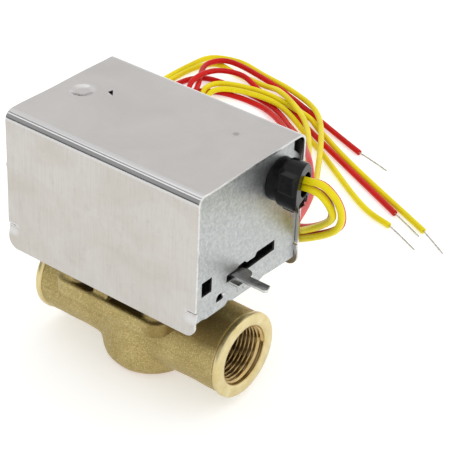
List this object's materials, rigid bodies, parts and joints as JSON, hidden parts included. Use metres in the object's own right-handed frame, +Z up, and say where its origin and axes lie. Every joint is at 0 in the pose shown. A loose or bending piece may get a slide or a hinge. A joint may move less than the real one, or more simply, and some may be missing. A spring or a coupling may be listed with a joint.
{
  "type": "zone valve",
  "caption": "Two-way spring-return zone valve: forged brass body with threaded ports under a motor powerhead in a bent sheet cover, with a manual lever and coloured flying leads.",
  "frame": {"origin": "centre of the flat pad under the brass body, on the surface that the valve stands on", "axes": "+X along the pipe axis towards the end with the lever and the leads, +Z up along the valve shaft"},
  "size_m": [0.229, 0.27, 0.1135],
  "materials": {
    "forged_brass": "matte forged skin with machined collars",
    "turned_brass": "turned",
    "zinc_plate": "zinc plated, pressed",
    "zinc_screw": "zinc plated",
    "seal_rubber": "moulded",
    "steel_shaft": "ground",
    "galvanised_sheet": "galvanised, soft spangle",
    "gear_steel": "stamped",
    "spring_steel": "drawn wire",
    "lever_steel": "stamped, bright sheared edges",
    "gear_plastic": "moulded acetal",
    "copper_winding": "wound and taped",
    "ferrite": "sintered",
    "switch_plastic": "moulded phenolic",
    "plunger_plastic": "moulded",
    "yellow_pvc": "glossy extruded",
    "red_pvc": "glossy extruded",
    "black_nylon": "moulded nylon",
    "cover_sheet": "brushed satin",
    "tinned_copper": "stranded, tinned"
  },
  "bodies": {
    "housing": {"valve_body": "forged_brass", "bonnet_plate": "zinc_plate", "bonnet_o_ring": "seal_rubber", "body_screws": "zinc_screw", "shaft_bushing": "turned_brass", "shaft_o_rings": "seal_rubber", "chassis": "galvanised_sheet", "return_spring": "spring_steel", "gear_axle": "steel_shaft", "plate_posts": "steel_shaft", "motor_plate": "galvanised_sheet", "plate_screws": "zinc_screw", "motor_base": "zinc_plate", "motor_can": "zinc_plate", "motor_coil": "copper_winding", "motor_screws": "zinc_screw", "switch_body": "switch_plastic", "switch_terminals": "turned_brass", "switch_screws": "zinc_screw", "inner_leads_yellow": "yellow_pvc", "inner_leads_red": "red_pvc", "strain_relief": "black_nylon", "strain_relief_wedge": "black_nylon", "cover": "cover_sheet", "lead_yellow_a": "yellow_pvc", "lead_yellow_b": "yellow_pvc", "lead_red_a": "red_pvc", "lead_red_b": "red_pvc", "tip_yellow_a": "tinned_copper", "tip_yellow_b": "tinned_copper", "tip_red_a": "tinned_copper", "tip_red_b": "tinned_copper"},
    "valve_rotor": {"valve_shaft": "steel_shaft", "plug_arm": "turned_brass", "plug_ball": "seal_rubber", "sector_gear": "gear_steel", "shaft_washer": "zinc_screw", "shaft_clip": "spring_steel"},
    "lever": {"manual_lever": "lever_steel"},
    "pinion_pair": {"drive_pinion": "turned_brass", "reduction_gear": "gear_plastic"},
    "rotor": {"rotor_magnet": "ferrite", "rotor_shaft": "steel_shaft", "rotor_pinion": "turned_brass"},
    "plunger": {"switch_plunger": "plunger_plastic"}
  },
  "joints": [
    {"name": "valve_turn", "type": "hinge", "parent": "housing", "child": "valve_rotor", "pos_m": [0, 0.012, 0], "axis": [0, 0, 1], "range_deg": [0, 28], "stiffness_Nm_per_rad": 0.05, "springref_deg": -45.84},
    {"name": "lever_swing", "type": "hinge", "parent": "housing", "child": "lever", "pos_m": [0, 0.012, 0], "axis": [0, 0, 1], "range_deg": [0, 28]},
    {"name": "pinion_turn", "type": "hinge", "parent": "housing", "child": "pinion_pair", "pos_m": [-0.02631, 0.00242, 0], "axis": [0, 0, 1], "range_deg": [-103, 0]},
    {"name": "rotor_turn", "type": "hinge", "parent": "housing", "child": "rotor", "pos_m": [-0.02406, -0.0118, 0], "axis": [0, 0, 1], "range_deg": [0, 308.5]},
    {"name": "plunger_slide", "type": "slide", "parent": "housing", "child": "plunger", "axis": [0, -1, 0], "range_m": [0, 0.00081]}
  ],
  "couplings": [
    {"joint": "lever_swing", "follows": "valve_turn", "ratio": 1},
    {"joint": "pinion_turn", "follows": "valve_turn", "ratio": -3.6667},
    {"joint": "rotor_turn", "follows": "valve_turn", "ratio": 11},
    {"joint": "plunger_slide", "follows": "valve_turn", "m_per_rad": 0.001637}
  ]
}
